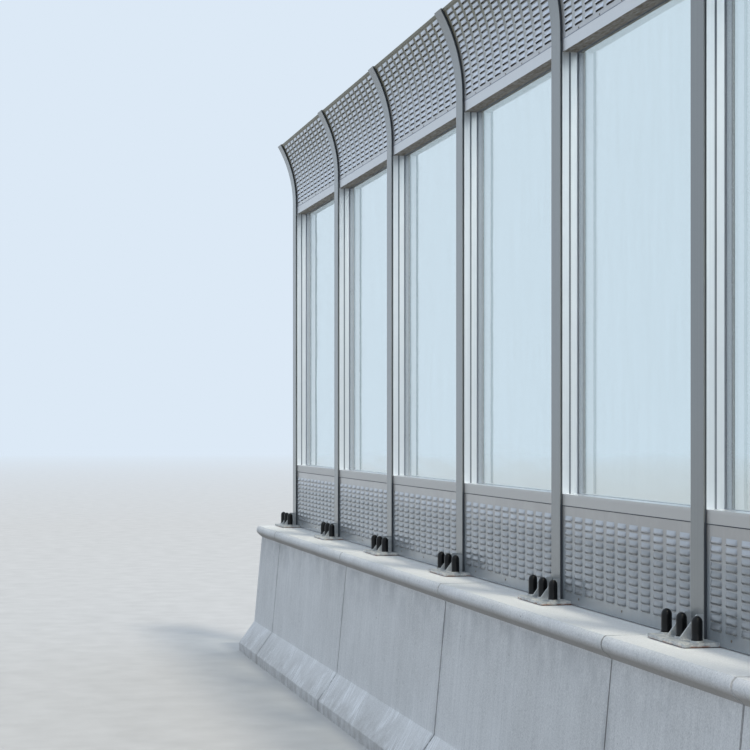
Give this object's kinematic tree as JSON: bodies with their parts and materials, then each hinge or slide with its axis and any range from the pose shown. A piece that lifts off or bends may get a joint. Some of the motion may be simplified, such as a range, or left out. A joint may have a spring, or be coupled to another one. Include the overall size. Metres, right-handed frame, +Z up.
{
  "type": "highway noise barrier",
  "caption": "Straight run of roadside noise barrier: concrete safety parapet, steel posts with heads curved to the road, louvred absorbing panels and tall clear panes.",
  "frame": {"origin": "ground level under the post line, halfway along the row, on the underside of the parapet", "axes": "+X along the row, -Y towards the road, +Z up"},
  "size_m": [12.5, 0.827, 4.7088],
  "materials": {
    "concrete": "cast concrete, matte, weathered, with fine pores and form marks",
    "joint_board": "dark soft joint filler, matte",
    "post_steel": "galvanised and grey painted steel, matte",
    "bed_mortar": "cement mortar, dark grey, matte and gritty",
    "plate_steel": "galvanised steel, dull, with rust at the edges",
    "cap_plastic": "black moulded plastic, glossy",
    "strip_rubber": "black rubber, matte",
    "louvre_sheet": "coated aluminium sheet, satin",
    "frame_aluminium": "anodised extruded aluminium, satin",
    "pane_plastic": "clear cast acrylic sheet, glossy, faint grey blue tint"
  },
  "bodies": {
    "root": {"parapet_1": "concrete", "parapet_2": "concrete", "parapet_3": "concrete", "joint_fillers": "joint_board", "post_1": "post_steel", "post_2": "post_steel", "post_3": "post_steel", "post_4": "post_steel", "post_5": "post_steel", "post_6": "post_steel", "post_7": "post_steel", "base_plate_1": "plate_steel", "base_plate_2": "plate_steel", "base_plate_3": "plate_steel", "base_plate_4": "plate_steel", "base_plate_5": "plate_steel", "base_plate_6": "plate_steel", "base_plate_7": "plate_steel", "mortar_beds": "bed_mortar", "anchor_caps": "cap_plastic", "edge_strips": "strip_rubber", "lower_panel_1": "louvre_sheet", "lower_panel_2": "louvre_sheet", "lower_panel_3": "louvre_sheet", "lower_panel_4": "louvre_sheet", "lower_panel_5": "louvre_sheet", "lower_panel_6": "louvre_sheet", "window_frame_1": "frame_aluminium", "window_frame_2": "frame_aluminium", "window_frame_3": "frame_aluminium", "window_frame_4": "frame_aluminium", "window_frame_5": "frame_aluminium", "window_frame_6": "frame_aluminium", "pane_1": "pane_plastic", "pane_2": "pane_plastic", "pane_3": "pane_plastic", "pane_4": "pane_plastic", "pane_5": "pane_plastic", "pane_6": "pane_plastic", "pane_seals": "strip_rubber", "curved_panel_1": "louvre_sheet", "curved_panel_2": "louvre_sheet", "curved_panel_3": "louvre_sheet", "curved_panel_4": "louvre_sheet", "curved_panel_5": "louvre_sheet", "curved_panel_6": "louvre_sheet"}
  },
  "joints": []
}
